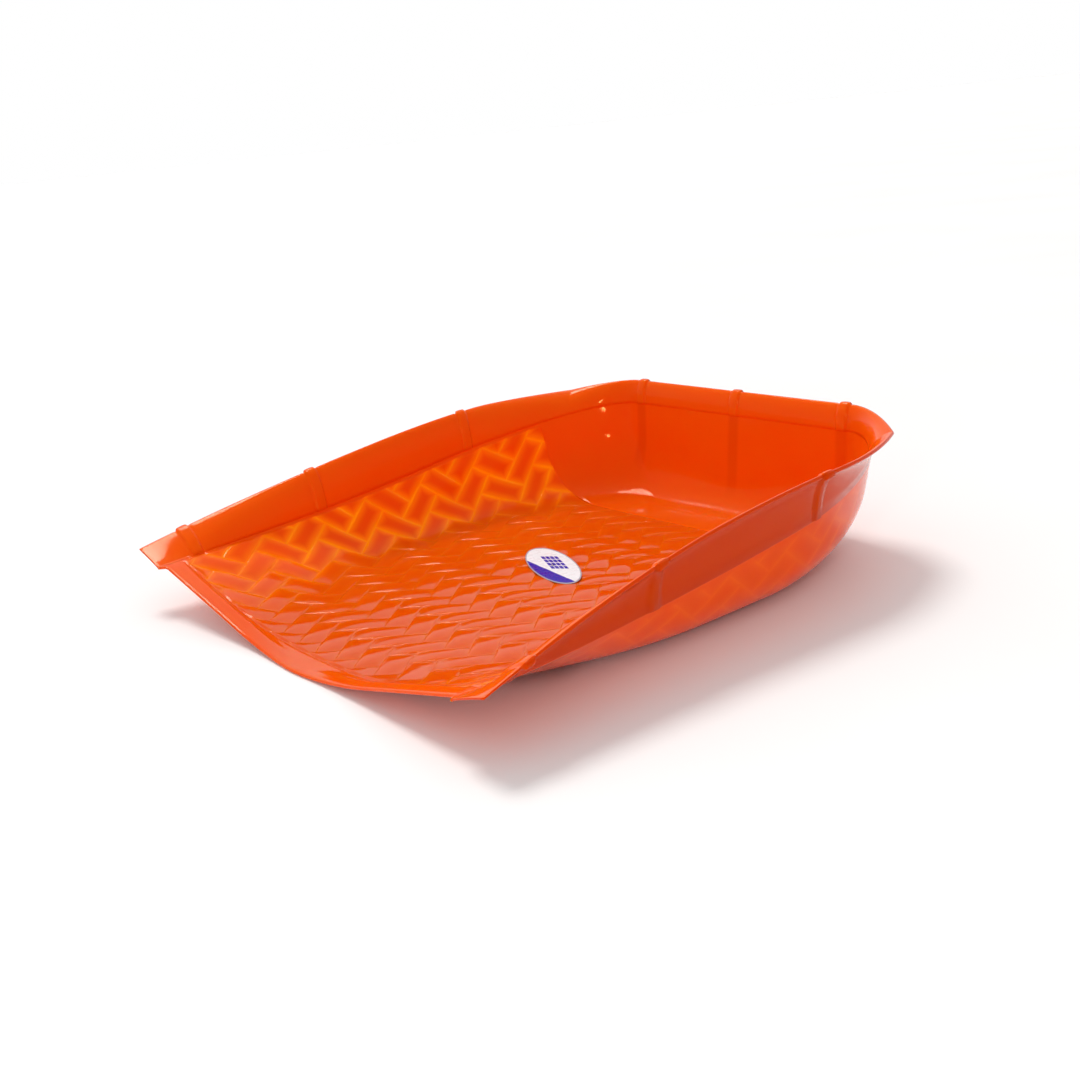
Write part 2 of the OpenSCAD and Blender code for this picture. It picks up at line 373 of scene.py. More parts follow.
def weave_height(u, v):
    """Height of the woven surface: each brick bows along its length and steps down at its ends."""
    along, across = weave_cell(u, v)
    bow = 1 - BRICK_BOW * (along - 1) ** 2
    crown = 1 - BRICK_CROWN * (2 * across - 1) ** 2
    return bow * crown


def smooth_weave(u, v):
    """The weave height averaged over a small disc, so that steps don't alias on the grid."""
    total, count = 0.0, 0
    for ring, spokes in SOFTEN_RINGS:
        for k in range(spokes):
            angle = 2 * np.pi * (k + ring) / spokes
            away = SOFTEN_REACH * ring
            total = total + weave_height(u + away * np.cos(angle), v + away * np.sin(angle))
            count += 1
    return total / count


def front_line(u):
    """Front border of the weave, a little nearer the lip beside the walls."""
    return WEAVE_FRONT_Y - FRONT_LINE_REACH * ease((np.abs(u) - FRONT_LINE_X) / FRONT_LINE_RUN)


def weave_zone(u, v, to_crease):
    """1 where the weave shows: behind the lip strip, ahead of the smooth rear, below the wall top."""
    front = ease((v - front_line(u)) / BORDER_RUN)
    back = ease((WEAVE_BACK_Y - v) / BORDER_RUN)
    return front * back * ease((to_crease - WEAVE_TOP_GAP) / WEAVE_TOP_GAP)


def relief(u, v, to_crease):
    """How far the inner skin stands off the plain shell: the weave, and the plain parts round it."""
    zone = weave_zone(u, v, to_crease)
    weave = mix(-WEAVE_SINK, WEAVE_RISE, smooth_weave(u, v))
    fade = np.exp(-np.maximum(0, v - WEAVE_BACK_Y) / REAR_FADE)
    behind = REAR_RISE * ease((v - WEAVE_BACK_Y) / REAR_RUN) * fade
    strip = STRIP_RISE * ease((front_line(u) - v) / BORDER_RUN) * ease(v / 3.0 + 0.4)
    line = -LINE_DEPTH * np.exp(-(((v - front_line(u) - LINE_BACK) / LINE_W) ** 2))
    line = line * ease(to_crease / 3.0)
    return zone * weave + behind * ease(to_crease / 6.0) + (strip + line) * ease(to_crease / 8.0)


def unit(d):
    return d / np.linalg.norm(d, axis=-1, keepdims=True)


class Sections:
    """All sections from the floor edge, up the wall and over the rim, before any relief."""

    def __init__(self, stations):
        foot, top, edge = stations.foot, stations.top, stations.edge
        knuckle = stations.knuckle
        # In plan: the way out from the floor edge to the wall top, and how far and high it goes.
        flat = unit(top[:, :2] - foot)
        reach = np.linalg.norm(top[:, :2] - foot, axis=1)
        rise = top[:, 2] - WALL_T
        angle = np.minimum(stations.slope, 2 * np.arctan(ROUND_SHARE * rise / reach))
        tangent = np.maximum(LEAST_TANGENT, reach - rise / np.tan(angle))
        radius = tangent / np.tan(angle / 2)
        round_len = radius * angle
        wall_x = reach - radius * np.sin(angle)
        wall_z = rise - radius * (1 - np.cos(angle))
        straight_len = np.hypot(wall_x, wall_z)
        straight = np.arctan2(wall_z, wall_x)
        length = round_len + straight_len
        # Points along the round, where the floor turns up, and then along the straight wall.
        share = np.linspace(0, 1, WALL_POINTS)[None, :]
        d = share * length[:, None]
        on_round = np.minimum(d / radius[:, None], angle[:, None])
        past = np.maximum(0, d - round_len[:, None])
        out = radius[:, None] * np.sin(on_round) + past * np.cos(straight)[:, None]
        up = radius[:, None] * (1 - np.cos(on_round)) + past * np.sin(straight)[:, None]
        blend = ease(past / BEND_RUN)
        wall_lean = mix(on_round, straight[:, None], blend)
        self.wall = np.concatenate([
            foot[:, None, :] + flat[:, None, :] * out[:, :, None],
            (WALL_T + up)[:, :, None],
        ], axis=2)
        self.along = d
        self.to_crease = length[:, None] - d
        # The rim goes from the wall top to its edge. It is flat at the mouth and rolled further back.
        over_dir = unit(edge[:, :2] - top[:, :2])
        over = np.linalg.norm(edge[:, :2] - top[:, :2], axis=1)[:, None]
        climb = (edge[:, 2] - top[:, 2])[:, None]
        far = ease(edge[:, 1] / ROLL_RUN)
        roll = mix(FLAT_ROLL, RIM_ROLL, far)[:, None]
        grow = (mix(-TAB_THINNING, RIM_T - WALL_T, far) / 2)[:, None]
        t = np.linspace(0, np.pi / 2, RIM_POINTS)[None, :]
        part = np.linspace(0, 1, RIM_POINTS)[None, :]
        lump = knuckle[:, None] * KNUCKLE_RISE
        h = mix(part, 1 - np.cos(t), roll)
        v = mix(part, np.sin(t), roll)
        dh = mix(1, np.sin(t) * np.pi / 2, roll) * over
        dv = mix(1, np.cos(t) * np.pi / 2, roll) * climb
        rim_lean = np.arctan2(dv, dh)
        rim_out = over * h
        rim_out[:, -1:] += lump
        self.rim = np.concatenate([
            top[:, None, :2] + over_dir[:, None, :] * rim_out[:, :, None],
            (top[:, 2:3] + climb * v)[:, :, None],
        ], axis=2)
        self.dirs = np.concatenate([
            np.repeat(flat[:, None, :], WALL_POINTS, axis=1),
            np.repeat(over_dir[:, None, :], RIM_POINTS, axis=1),
        ], axis=1)
        self.lean = np.concatenate([wall_lean, rim_lean], axis=1)
        # How far each skin stands off the line of the section.
        body = np.zeros_like(d)
        skin = grow + lump + np.zeros_like(t)
        rib = stations.rib[:, None] * RIB_RISE * ease(RIB_FADE * share)
        self.inner = np.concatenate([body, skin], axis=1)
        self.outer = np.concatenate([body + WALL_T + rib, WALL_T + skin], axis=1)

    def points(self, offset):
        """The section points moved off the inside face: up by offset, or out where it is negative."""
        base = np.concatenate([self.wall, self.rim], axis=1)
        side = self.dirs * (np.sin(self.lean) * offset)[:, :, None]
        return np.concatenate([
            base[:, :, :2] - side,
            (base[:, :, 2] + np.cos(self.lean) * offset)[:, :, None],
        ], axis=2)


def slice_lengths(wall, along, first_corner):
    """Arc length from the centre line on the right half, measured at constant depth."""
    u = wall[:, :1, 0] + along
    levels = np.linspace(CORNER_Y, WEAVE_BACK_Y + SLICE_PAST_WEAVE, SLICE_LEVELS)
    track = np.empty((WALL_POINTS, len(levels), 2))
    for j in range(WALL_POINTS):
        line = wall[first_corner:, j]
        for k, axis in enumerate((0, 2)):
            track[j, :, k] = np.interp(levels, line[:, 1], line[:, axis])
    step = np.linalg.norm(np.diff(track, axis=0), axis=2)
    walked = np.concatenate([np.zeros((1, SLICE_LEVELS)), np.cumsum(step, axis=0)])
    table = track[0, :, 0] + walked
    for j in range(WALL_POINTS):
        rows = wall[:, j, 1] > CORNER_Y
        u[rows, j] = np.interp(wall[rows, j, 1], levels, table[j])
    return u


def front_shear(x, y, is_rim):
    """Depth of a point near the mouth, where the lip stands back from the rim ends."""
    return y + lip_shift(x) * clamp01(1 - y / SHEAR_RUN) * (1 - is_rim)


def ring_ids(rings, row, side, inside):
    """Vertex numbers of the rings, and of the floor with the rings' own foot points round it."""
    ring = np.arange(rings * row).reshape(rings, row)
    floor = np.empty((side + 1, inside + 2), int)
    floor[:side, 1:-1] = rings * row + np.arange(side * inside).reshape(side, inside)
    floor[:side, 0] = ring[:side, 0]
    floor[:side, -1] = ring[::-1][:side, 0]
    floor[side] = ring[side:side + inside + 2, 0]
    return ring, floor


def picks(count, skip):
    """Every skip-th index with both ends kept."""
    return list(range(0, count - 1, skip)) + [count - 1]


def cell_faces(ids, rows, cols, dense):
    """Faces over a coarse pick of a grid. A side named in dense keeps every vertex of that border."""
    faces = []
    last_row, last_col = ids.shape[0] - 1, ids.shape[1] - 1
    for a, b in zip(rows[:-1], rows[1:]):
        for c, d in zip(cols[:-1], cols[1:]):
            first = range(c, d) if "first" in dense and a == 0 else (c,)
            right = range(a, b) if "right" in dense and d == last_col else (a,)
            last = range(d, c, -1) if "last" in dense and b == last_row else (d,)
            loop = [ids[a, k] for k in first] + [ids[k, d] for k in right]
            loop += [ids[b, k] for k in last] + [ids[b, c]]
            faces.append(tuple(int(i) for i in loop))
    return faces


def quads(ids):
    """All the cells of a grid of vertex numbers, as four-cornered faces."""
    corners = np.stack([ids[:-1, :-1], ids[:-1, 1:], ids[1:, 1:], ids[1:, :-1]], axis=-1)
    return [tuple(face) for face in corners.reshape(-1, 4).tolist()]


def pan_stations():
    """All stations, with how many stand before the right corner, on the right half and at the rear."""
    side_y = spread(0, CORNER_Y, STEP, (KNUCKLE_1, KNUCKLE_2), KNUCKLE_REACH)
    knuckle_turn = np.degrees(turn_at(KNUCKLE_3))
    tip_turn = np.degrees(CORNER_TIP_TURN)
    turns = np.radians(spread(0, 90, CORNER_STEP, (knuckle_turn, tip_turn), TURN_REACH))[1:]
    half_x = spread(0, CORNER_X, STEP, (0, KNUCKLE_REAR), KNUCKLE_REACH)
    rear_x = np.concatenate([half_x[::-1], -half_x[1:]])[1:-1]
    right = side_stations(side_y).joined(corner_stations(turns))
    stations = right.joined(rear_stations(rear_x)).joined(right.mirrored())
    return stations, len(side_y), len(side_y) + len(turns), rear_x


def pan_skins():
    """Inner and outer points with their weave coordinates and masks, and the vertex numbers."""
    stations, first_corner, right_count, rear_x = pan_stations()
    sections = Sections(stations)
    count, row = sections.lean.shape
    # The floor's rows run between the two stations at the same depth. The last row is the rear foot.
    side = right_count - 1
    inside = len(rear_x)
    shares = np.concatenate([[1.0], rear_x / CORNER_X, [-1.0]])[1:-1]
    right = slice(0, right_count)
    u_right = slice_lengths(sections.wall[right], sections.along[right], first_corner - 1)
    u_rear = sections.wall[right_count:-right_count, :, 0]
    u_wall = np.concatenate([u_right, u_rear, -u_right[::-1]])
    v_wall = sections.wall[:, :, 1]
    to_crease = sections.to_crease
    rim_u = np.repeat(u_wall[:, -1:], RIM_POINTS, axis=1)
    rim_v = sections.rim[:, :, 1]
    zone = weave_zone(u_wall, v_wall, to_crease)
    no_zone = np.zeros_like(rim_v)
    is_rim = np.concatenate([ease(1 - to_crease / RIM_MASK_RUN), np.ones_like(rim_v)], axis=1)
    steep = ease(sections.lean[:, :WALL_POINTS] / WALL_MASK_LEAN)
    wallness = np.concatenate([steep, no_zone + 1], axis=1)
    bulge = np.concatenate([relief(u_wall, v_wall, to_crease), no_zone], axis=1)
    inner = sections.points(sections.inner + bulge)
    outer = sections.points(-sections.outer)
    u = np.concatenate([u_wall, rim_u], axis=1)
    v = np.concatenate([v_wall, rim_v], axis=1)
    shown = np.concatenate([zone, no_zone], axis=1)
    on_rim = np.concatenate([0 * zone, no_zone + 1], axis=1)
    extras = np.stack([*weave_place(u, v), shown, on_rim, wallness], axis=2)
    for skin in (inner, outer):
        skin[:, :, 1] = front_shear(skin[:, :, 0], skin[:, :, 1], is_rim)
    foot = stations.foot[:side]
    floor_x = foot[:, :1] * shares[None, :]
    floor_y = np.repeat(foot[:, 1:], inside, axis=1)
    far = FAR_FROM_TOP + 0 * floor_x
    floor_zone = weave_zone(floor_x, floor_y, far)
    flat = 0 * far
    floor_extras = np.stack([*weave_place(floor_x, floor_y), floor_zone, flat, flat], axis=2)
    placed_y = front_shear(floor_x, floor_y, 0.0)
    floor_in = np.stack([floor_x, placed_y, WALL_T + relief(floor_x, floor_y, far)], axis=2)
    floor_out = np.stack([floor_x, placed_y, flat], axis=2)
    skins = []
    for ring, floor in ((inner, floor_in), (outer, floor_out)):
        skins.append(np.concatenate([
            np.concatenate([ring, extras], axis=2).reshape(-1, 8),
            np.concatenate([floor, floor_extras], axis=2).reshape(-1, 8),
        ]))
    return skins, ring_ids(count, row, side, inside)


def edge_round(inner, outer, border, behind):
    """Points of the half round that closes the shell along its free border."""
    top, low = inner[border], outer[border]
    middle = (top + low) / 2
    ahead = middle[:, :3] - (inner[behind, :3] + outer[behind, :3]) / 2
    across = unit(top[:, :3] - low[:, :3])
    ahead -= across * np.sum(ahead * across, axis=1, keepdims=True)
    reach = np.linalg.norm(top[:, :3] - low[:, :3], axis=1, keepdims=True) / 2
    rows = []
    for k in range(1, EDGE_POINTS + 1):
        angle = np.pi * k / (EDGE_POINTS + 1)
        row = middle + (top - middle) * np.cos(angle)
        row[:, :3] += unit(ahead) * reach * EDGE_BULGE * np.sin(angle)
        rows.append(row)
    return rows


def make_mesh(name, points, faces):
    """A mesh object in metres, in the CAD frame, from points in millimetres."""
    points = points[:, :3].copy()
    points[:, 1] -= MIDDLE_Y
    mesh = bpy.data.meshes.new(name)
    mesh.from_pydata((points * MM).tolist(), [], faces)
    mesh.validate()
    mesh.shade_smooth()
    piece = bpy.data.objects.new(name, mesh)
    bpy.context.scene.collection.objects.link(piece)
    return piece


def add_vector(mesh, name, values):
    attribute = mesh.attributes.new(name, "FLOAT_VECTOR", "POINT")
    attribute.data.foreach_set("vector", np.ascontiguousarray(values, dtype=np.float32).ravel())


def build_pan():
    """The pan: a dense inner skin with the weave on it, a coarser outer skin and a rounded edge."""
    (inner, outer), (ring, floor) = pan_skins()
    border = np.concatenate([ring[0, :], ring[1:, -1], ring[-1, -2::-1], floor[0, -2:0:-1]])
    behind = np.concatenate([
        ring[1, :-1], [ring[1, -2]], ring[1:-1, -2], [ring[-2, -2]],
        ring[-2, -2::-1], floor[1, -2:0:-1],
    ])
    edges = edge_round(inner, outer, border, behind)
    total, around = len(inner), len(border)

    side, span = floor.shape[0] - 1, floor.shape[1]
    half_rows = picks(side + 1, COARSE)
    floor_cols = picks(span, COARSE)
    rows = half_rows + [side + c for c in floor_cols[1:]]
    rows += [ring.shape[0] - 1 - k for k in half_rows[-2::-1]]
    cols = picks(WALL_POINTS, COARSE) + [WALL_POINTS + k for k in picks(RIM_POINTS, COARSE)]
    faces = quads(ring) + quads(floor.T)
    below = cell_faces(ring + total, rows, cols, ("first", "right", "last"))
    faces += [face[::-1] for face in below]
    faces += cell_faces(floor + total, half_rows, floor_cols, ("first",))
    lines = [border] + [2 * total + around * k + np.arange(around) for k in range(EDGE_POINTS)]
    lines.append(border + total)
    for upper, lower in zip(lines[:-1], lines[1:]):
        loop = np.stack([upper, lower, np.roll(lower, -1), np.roll(upper, -1)], axis=1)
        faces += [tuple(face) for face in loop.tolist()]

    points = np.concatenate([inner, outer] + edges)
    strength = np.full(len(points), OUTSIDE_STRENGTH)
    strength[:total] = 1.0
    used = np.zeros(len(points), bool)
    used[np.concatenate([np.array(face) for face in faces])] = True
    number = np.cumsum(used) - 1
    faces = [tuple(int(number[i]) for i in face) for face in faces]
    points = points[used]
    pan = make_mesh("pan_body", points, faces)
    weave = np.stack([points[:, 3], points[:, 4], strength[used]], axis=1)
    add_vector(pan.data, "weave", weave)
    add_vector(pan.data, "mask", points[:, 5:8])
    return pan


# The sticker
LABEL_X = -13.0
LABEL_Y = 215.0
LABEL_LEN = 88.0
LABEL_W = 31.0
LABEL_TURN = np.radians(-23.0)
# Half lengths of the print's two slanted axes, across and up as the print reads
LABEL_ALONG = (36.3, -5.2)
LABEL_UP = (-19.6, 21.6)

LABEL_T = 0.16
LABEL_GAP = 0.07
LABEL_REST = 9.0
LABEL_THIN_EDGE = 0.015
LABEL_RINGS = 44
LABEL_RING_POWER = 0.8
LABEL_SPOKES = 144
REST_SPOKES = 12

# Places in the print, in half lengths of those axes
EMBLEM_HALF_A = 0.55
EMBLEM_HALF_B = 0.48
EMBLEM_UP = 0.2
HATCH_PITCH = 0.275
BLUE_TOP = -0.4


def resting_height(u, v):
    """The highest relief within reach of each point, where a film stretched over it lies."""
    highest = relief(u, v, FAR_FROM_TOP)
    for k in range(REST_SPOKES):
        angle = 2 * np.pi * k / REST_SPOKES
        for away in (LABEL_REST / 2, LABEL_REST):
            near = relief(u + away * np.cos(angle), v + away * np.sin(angle), FAR_FROM_TOP)
            highest = np.maximum(highest, near)
    return highest


def build_label():
    """A thin oval film that lies over the weave. Its print runs on slanted axes, as in the photo."""
    share = np.linspace(0, 1, LABEL_RINGS + 1)[1:] ** LABEL_RING_POWER
    angle = np.linspace(0, 2 * np.pi, LABEL_SPOKES, endpoint=False)
    a = np.concatenate([[0.0], (share[:, None] * np.cos(angle) * LABEL_LEN / 2).ravel()])
    b = np.concatenate([[0.0], (share[:, None] * np.sin(angle) * LABEL_W / 2).ravel()])
    x = LABEL_X + a * np.cos(LABEL_TURN) - b * np.sin(LABEL_TURN)
    y = LABEL_Y + a * np.sin(LABEL_TURN) + b * np.cos(LABEL_TURN)
    low = WALL_T + resting_height(x, y) + LABEL_GAP
    rim = np.concatenate([[0.0], np.repeat(share, LABEL_SPOKES)])
    high = low + LABEL_T * (1 - ease(1 - (1 - rim) / LABEL_THIN_EDGE) / 2)
    count = len(a)
    ids = 1 + np.arange(LABEL_RINGS * LABEL_SPOKES).reshape(LABEL_RINGS, LABEL_SPOKES)
    ids = np.concatenate([ids, ids[:, :1]], axis=1)
    top = quads(ids) + [(0, int(ids[0, k]), int(ids[0, k + 1])) for k in range(LABEL_SPOKES)]
    bottom = [tuple(i + count for i in face[::-1]) for face in top]
    rim_ids = [int(i) for i in ids[-1]]
    wall = [(i, i + count, j + count, j) for i, j in zip(rim_ids[:-1], rim_ids[1:])]
    points = np.concatenate([np.stack([x, y, high], axis=1), np.stack([x, y, low], axis=1)])
    label = make_mesh("label_film", points, top + bottom + wall)
    axes = np.linalg.inv(np.array([LABEL_ALONG, LABEL_UP]).T)
    print_place = (axes @ np.stack([x - LABEL_X, y - LABEL_Y])).T
    place = np.tile(np.concatenate([print_place, np.zeros((count, 1))], axis=1), (2, 1))
    add_vector(label.data, "place", place)
    return label


# Colours, as red, green and blue from 0 to 255
ORANGE = (238, 84, 2)
ORANGE_CLOUD = (243, 92, 5)
# Painted shade: the outside of the shell, darker than the inside.
ORANGE_OUTSIDE_SHADE = (224, 72, 1)
# Painted light: the woven walls made brighter, as if lit through from behind.
ORANGE_WALL_GLOW = (252, 86, 0)
# Painted shade: the woven floor, darker than the walls.
ORANGE_FLOOR_SHADE = (206, 74, 0)
# Painted light: the glow of light through the thin grooves.
ORANGE_GROOVE_GLOW = (255, 150, 4)
# Painted light: the rim, lighter where it catches the light.
ORANGE_RIM_LIT = (240, 98, 12)
# Painted shade: the outer face of the rim, which faces down and out.
ORANGE_UNDER_RIM_SHADE = (196, 54, 0)
# Painted shade: faint stripes below the rear knuckles.
ORANGE_RIB_SHADE = (176, 32, 0)
ORANGE_SPECK = (150, 34, 2)
ORANGE_LIGHT = (255, 118, 0)
PRINT_BLUE = (12, 16, 170)
FILM_WHITE = (238, 240, 244)
EDGE_SILVER = (170, 170, 180)
GRIME = (120, 110, 100)
FLOOR_PALE = (246, 246, 246)
FLOOR_PALER = (249, 249, 249)

# How much of each tone goes over the body colour
OUTSIDE_SHADE_SHARE = 0.5
WALL_GLOW_SHARE = 0.5
FLOOR_SHADE_SHARE = 0.55
GROOVE_GLOW_SHARE = 0.95
RIM_LIT_SHARE = 0.4
UNDER_RIM_SHADE_SHARE = 0.8
RIB_SHADE_SHARE = 0.2
SPECK_SHARE = 0.10
GRIME_SHARE = 0.03

# Light through the grooves: its bright core, its soft halo, and what is left of it on the floor
CORE_SHARE = 0.4
HALO_SHARE = 0.65
FLOOR_LIGHT = 0.08
LIGHT_STRENGTH = 0.22


def paint(color):
    """A linear colour from the usual 0 to 255 values."""
    values = [((c / 255 + 0.055) / 1.055) ** 2.4 if c > 10 else c / 255 / 12.92 for c in color]
    return (*values, 1.0)


class Maker:
    """Builds one node material in short calls."""

    def __init__(self, name):
        self.material = bpy.data.materials.new(name)
        self.material.use_nodes = True
        self.tree = self.material.node_tree
        self.shader = self.tree.nodes["Principled BSDF"]

    def node(self, kind, **settings):
        made = self.tree.nodes.new(kind)
        for key, value in settings.items():
            setattr(made, key, value)
        return made

    def feed(self, socket, value):
        if isinstance(value, bpy.types.NodeSocket):
            self.tree.links.new(value, socket)
        else:
            socket.default_value = value

    def math(self, operation, *values):
        made = self.node("ShaderNodeMath", operation=operation)
        for socket, value in zip(made.inputs, values):
            self.feed(socket, value)
        return made.outputs[0]

    def ramp(self, value, low, high, start=0.0, end=1.0):
        made = self.node("ShaderNodeMapRange", interpolation_type="SMOOTHSTEP")
        for key, number in (("Value", value), ("From Min", low), ("From Max", high),
                            ("To Min", start), ("To Max", end)):
            self.feed(made.inputs[key], number)
        return made.outputs[0]

    def blend(self, factor, a, b):
        made = self.node("ShaderNodeMix", data_type="RGBA")
        self.feed(made.inputs[0], factor)
        self.feed(made.inputs[6], a)
        self.feed(made.inputs[7], b)
        return made.outputs[2]

    def parts(self, name):
        source = self.node("ShaderNodeAttribute", attribute_name=name)
        split = self.node("ShaderNodeSeparateXYZ")
        self.tree.links.new(source.outputs["Vector"], split.inputs[0])
        return split.outputs

    def noise(self, scale, detail=3.0, stretch=(1.0, 1.0, 1.0), roughness=0.5):
        place = self.node("ShaderNodeTexCoord")
        mapping = self.node("ShaderNodeMapping")
        mapping.inputs["Scale"].default_value = stretch
        self.tree.links.new(place.outputs["Object"], mapping.inputs["Vector"])
        made = self.node("ShaderNodeTexNoise")
        self.tree.links.new(mapping.outputs[0], made.inputs["Vector"])
        made.inputs["Scale"].default_value = scale
        made.inputs["Detail"].default_value = detail
        made.inputs["Roughness"].default_value = roughness
        return made.outputs[0]

    def bumped(self, height, distance, strength=1.0, under=None):
        made = self.node("ShaderNodeBump")
        made.inputs["Distance"].default_value = distance
        made.inputs["Strength"].default_value = strength
        self.feed(made.inputs["Height"], height)
        if under is not None:
            self.feed(made.inputs["Normal"], under)
        return made.outputs[0]

    def settings(self, **values):
        for key, value in values.items():
            self.shader.inputs[key.replace("_", " ")].default_value = value

    def color(self, value):
        self.feed(self.shader.inputs["Base Color"], value)


def weave_nodes(make):
    """The distance to the nearest brick edge, in strips, and how strongly the weave shows."""
    across_rows, along_rows, strength = make.parts("weave")
    p = make.math("ADD", across_rows, along_rows)
    q = make.math("SUBTRACT", across_rows, along_rows)
    whole = make.math("SUBTRACT", make.math("FLOOR", p), make.math("FLOOR", q))
    m = make.math("FLOORED_MODULO", whole, 4.0)
    fp, fq = make.math("FRACT", p), make.math("FRACT", q)
    along_p = make.math("LESS_THAN", m, 1.5)
    across = make.math("ADD", make.math("MULTIPLY", fq, along_p),
                       make.math("MULTIPLY", fp, make.math("SUBTRACT", 1.0, along_p)))
    first = make.math("MULTIPLY", make.math("ADD", fp, m), along_p)
    second = make.math("MULTIPLY", make.math("ADD", fq, make.math("SUBTRACT", 3.0, m)),
                       make.math("SUBTRACT", 1.0, along_p))
    along = make.math("ADD", first, second)
    to_side = make.math("SUBTRACT", 0.5, make.math("ABSOLUTE", make.math("SUBTRACT", across, 0.5)))
    to_end = make.math("SUBTRACT", 1.0, make.math("ABSOLUTE", make.math("SUBTRACT", along, 1.0)))
    return make.math("MINIMUM", to_side, to_end), strength


def rib_shade_nodes(make):
    """Painted shade: a faint darker stripe on the rear wall below each rear knuckle, where a rib stands
    on the outside.
    """
    place = make.node("ShaderNodeTexCoord")
    split = make.node("ShaderNodeSeparateXYZ")
    make.tree.links.new(place.outputs["Object"], split.inputs[0])
    shade = 0.0
    for middle in (-KNUCKLE_REAR, 0.0, KNUCKLE_REAR):
        away = make.math("ABSOLUTE", make.math("SUBTRACT", split.outputs[0], middle * MM))
        shade = make.math("ADD", shade, make.ramp(away, 2.5 * MM, 7.0 * MM, RIB_SHADE_SHARE, 0.0))
    rear = (REAR_CREASE_Y - 12.0 - MIDDLE_Y) * MM
    return make.math("MULTIPLY", shade, make.ramp(split.outputs[1], rear, rear + 9.0 * MM))


def pan_material():
    """Translucent orange plastic, deeper in the bricks and with painted light brighter in the grooves
    of the walls. Painted light also brightens the woven walls and the rim; painted shade darkens the
    woven floor, the outside, the outer face of the rim and the rear wall below the knuckles.
    """
    make = Maker("orange_plastic")
    to_edge, strength = weave_nodes(make)
    zone, rim, wall = make.parts("mask")
    shown = make.math("MULTIPLY", zone, strength)
    core = make.math("MULTIPLY", make.ramp(to_edge, 0.0, 0.12, 1.0, 0.0), CORE_SHARE)
    halo = make.math("MULTIPLY", make.ramp(to_edge, -0.06, 0.44, 1.0, 0.0), HALO_SHARE)
    glow = make.math("MINIMUM", make.math("ADD", core, halo), 1.0)
    glow = make.math("MULTIPLY", glow, make.ramp(make.noise(24.0, 2.0), 0.3, 0.65, 0.55, 1.0))
    lit = make.math("MULTIPLY", glow, shown)
    lit = make.math("MULTIPLY", lit, make.math("MAXIMUM", wall, FLOOR_LIGHT))
    cloud = make.noise(9.0, 2.0)
    body = make.blend(make.ramp(cloud, 0.35, 0.65), paint(ORANGE), paint(ORANGE_CLOUD))
    outside = make.ramp(strength, 0.5, 0.9, 1.0, 0.0)
    # Painted shade: the outside of the shell is darkened.
    body = make.blend(make.math("MULTIPLY", outside, OUTSIDE_SHADE_SHARE), body, paint(ORANGE_OUTSIDE_SHADE))
    # Painted light: the woven walls are brightened.
    deeper = make.math("MULTIPLY", make.math("MULTIPLY", shown, wall), WALL_GLOW_SHARE)
    body = make.blend(deeper, body, paint(ORANGE_WALL_GLOW))
    # Painted shade: the woven floor is darkened.
    level = make.math("MULTIPLY", zone, make.math("SUBTRACT", 1.0, wall))
    body = make.blend(make.math("MULTIPLY", level, FLOOR_SHADE_SHARE), body, paint(ORANGE_FLOOR_SHADE))
    # Painted light: the grooves glow.
    body = make.blend(make.math("MULTIPLY", lit, GROOVE_GLOW_SHARE), body, paint(ORANGE_GROOVE_GLOW))
    # Painted light: the rim is lightened.
    body = make.blend(make.math("MULTIPLY", rim, RIM_LIT_SHARE), body, paint(ORANGE_RIM_LIT))
    # Painted shade: the outer face of the rim is darkened.
    under_rim_shade = make.math("MULTIPLY", make.math("MULTIPLY", rim, outside), UNDER_RIM_SHADE_SHARE)
    body = make.blend(under_rim_shade, body, paint(ORANGE_UNDER_RIM_SHADE))
    # Painted shade: faint stripes below the rear knuckles.
    shade_below_knuckles = make.math("MULTIPLY", rib_shade_nodes(make), make.math("SUBTRACT", 1.0, rim))
    body = make.blend(shade_below_knuckles, body, paint(ORANGE_RIB_SHADE))
    speck = make.ramp(make.noise(900.0, 1.0), 0.7, 0.78)
    body = make.blend(make.math("MULTIPLY", speck, SPECK_SHARE), body, paint(ORANGE_SPECK))
    make.color(body)
    # A weak glow stands in for light that comes through the thin plastic of the grooves.
    make.feed(make.shader.inputs["Emission Strength"], make.math("MULTIPLY", lit, LIGHT_STRENGTH))
    scuffs = make.ramp(make.noise(160.0, 4.0, (1.0, 0.12, 1.0), 0.7), 0.56, 0.72)
    haze = make.ramp(make.noise(30.0, 3.0), 0.4, 0.7)
    rough = make.math("ADD", make.math("MULTIPLY", scuffs, 0.10), make.math("MULTIPLY", haze, 0.05))
    make.feed(make.shader.inputs["Roughness"], make.math("ADD", rough, 0.07))
    groove = make.math("MULTIPLY", make.ramp(to_edge, 0.0, 0.055), shown)
    seam = make.bumped(groove, 0.0002, 0.8)
    ripple = make.bumped(make.noise(110.0, 3.0), 0.00022, 0.5, seam)
    grain = make.bumped(make.noise(1400.0, 2.0), 0.00002, 0.4, ripple)
    make.feed(make.shader.inputs["Normal"], grain)
    make.settings(
        Emission_Color=paint(ORANGE_LIGHT),
        IOR=1.49,
        Specular_IOR_Level=0.2,
        Specular_Tint=(1.0, 0.42, 0.12, 1.0),
        Subsurface_Weight=0.7,
        Subsurface_Scale=0.005,
        Subsurface_Radius=(1.0, 0.45, 0.08),
    )
    return make.material


